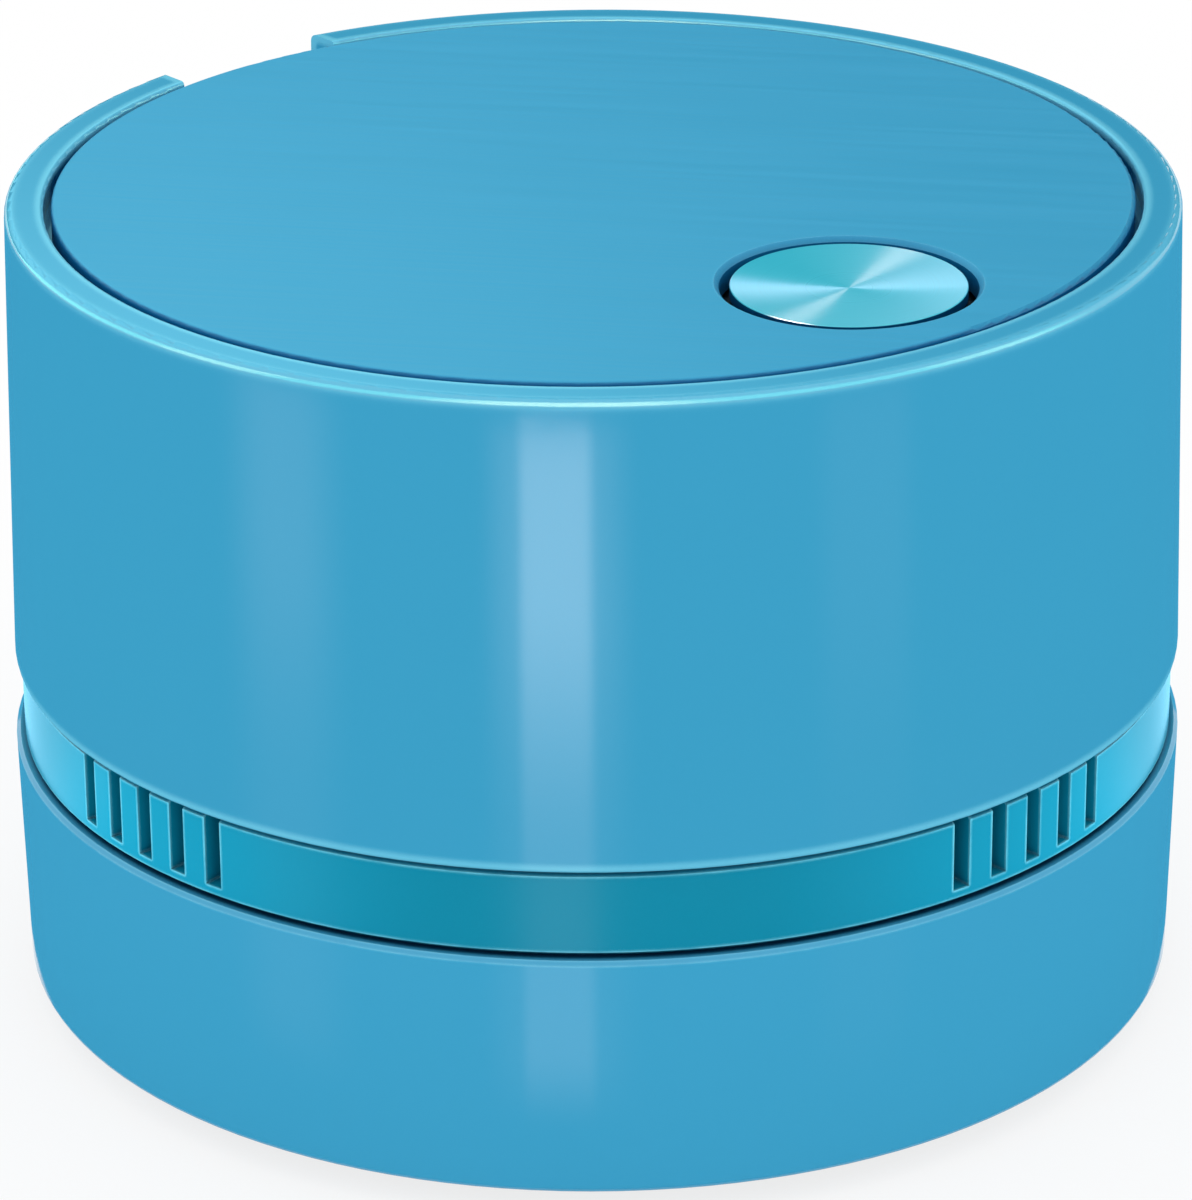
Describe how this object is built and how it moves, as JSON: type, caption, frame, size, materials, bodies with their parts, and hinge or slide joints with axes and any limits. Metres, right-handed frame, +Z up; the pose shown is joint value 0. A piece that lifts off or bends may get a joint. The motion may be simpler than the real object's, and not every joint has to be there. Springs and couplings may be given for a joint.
{
  "type": "desktop mini vacuum cleaner",
  "caption": "Round battery table vacuum: cup with a brush fringe and inlet, slotted vent band, case with a push button in its lid; the head twists off the cup.",
  "frame": {"origin": "on the table, under the centre of the round body, at the bristles' tips", "axes": "+Z up along the body's axis and the motor shaft, -Y towards the button, +Y towards the finger notch, +X to the right"},
  "size_m": [0.0856, 0.0856, 0.0602],
  "materials": {
    "case_blue": "glossy metallic blue lacquer on moulded ABS",
    "lid_blue": "blue, finely brushed in one direction",
    "ring_teal": "darker blue-green, glossy",
    "button_metal": "anodised pale blue, spun face",
    "inner_plastic": "moulded light grey ABS",
    "fan_plastic": "moulded white nylon",
    "guard_plastic": "moulded, satin",
    "base_plastic": "moulded, satin",
    "bristle": "tufted nylon",
    "filter_plastic": "moulded white",
    "filter_cloth": "fine nylon mesh",
    "rubber_seal": "soft black rubber",
    "foam": "closed-cell foam",
    "steel": "zinc plated",
    "contact_plate": "nickel plated spring steel",
    "motor_plastic": "white nylon",
    "switch_plastic": "black nylon",
    "bronze": "sintered bronze",
    "copper": "enamelled copper",
    "laminations": "laminated steel",
    "ferrite": "sintered ferrite",
    "cell_jacket": "plain printed sleeve over a metal can",
    "ceramic": "dipped ceramic",
    "lead_red": "PVC insulation",
    "lead_black": "PVC insulation"
  },
  "bodies": {
    "cup": {"dust_cup": "case_blue", "base_plate": "base_plastic", "base_screws": "steel", "inner_brush": "bristle", "outer_brush": "bristle"},
    "filter": {"filter_frame": "filter_plastic", "filter_mesh": "filter_cloth"},
    "lid": {"lid": "lid_blue", "lid_pads": "foam"},
    "button": {"button_cap": "button_metal", "button_plunger": "inner_plastic", "switch_slider": "switch_plastic", "button_spring": "contact_plate"},
    "rotor": {"motor_shaft": "steel", "armature_core": "laminations", "armature_windings": "copper", "commutator": "copper", "impeller": "fan_plastic"},
    "head": {"upper_housing": "case_blue", "vent_ring": "ring_teal", "battery_tray": "inner_plastic", "fan_deck": "inner_plastic", "guard_plate": "guard_plastic", "seal_ring": "rubber_seal", "motor_damper": "rubber_seal", "motor_can": "steel", "case_screws": "steel", "tray_screws": "steel", "contact_bridge": "contact_plate", "contact_negative": "contact_plate", "contact_positive": "contact_plate", "contact_springs": "contact_plate", "motor_brushes": "contact_plate", "motor_terminals": "contact_plate", "switch_pins": "contact_plate", "motor_end_cap": "motor_plastic", "switch_body": "switch_plastic", "motor_bushes": "bronze", "motor_magnets": "ferrite", "battery_cell_left": "cell_jacket", "battery_cell_right": "cell_jacket", "noise_capacitor": "ceramic", "lead_cell_to_switch": "lead_red", "lead_switch_to_motor": "lead_red", "lead_cell_to_motor": "lead_black"}
  },
  "joints": [
    {"name": "filter_lift", "type": "slide", "parent": "cup", "child": "filter", "axis": [0, 0, 1], "range_m": [0, 0.0105]},
    {"name": "head_twist", "type": "hinge", "parent": "filter", "child": "head", "pos_m": [0, 0, 0.02], "axis": [0, 0, 1], "range_deg": [0, 90]},
    {"name": "lid_lift", "type": "slide", "parent": "head", "child": "lid", "axis": [0, 0, 1], "range_m": [0, 0.025]},
    {"name": "button_press", "type": "slide", "parent": "head", "child": "button", "axis": [0, 0, -1], "range_m": [0, 0.0016], "stiffness_N_per_m": 700, "springref_m": -0.0006, "deforming": ["button_spring"]},
    {"name": "rotor_spin", "type": "hinge", "parent": "head", "child": "rotor", "pos_m": [0, 0, 0.04], "axis": [0, 0, 1], "continuous": true}
  ],
  "couplings": [
    {"joint": "filter_lift", "follows": "head_twist", "m_per_rad": 0.0066845}
  ]
}
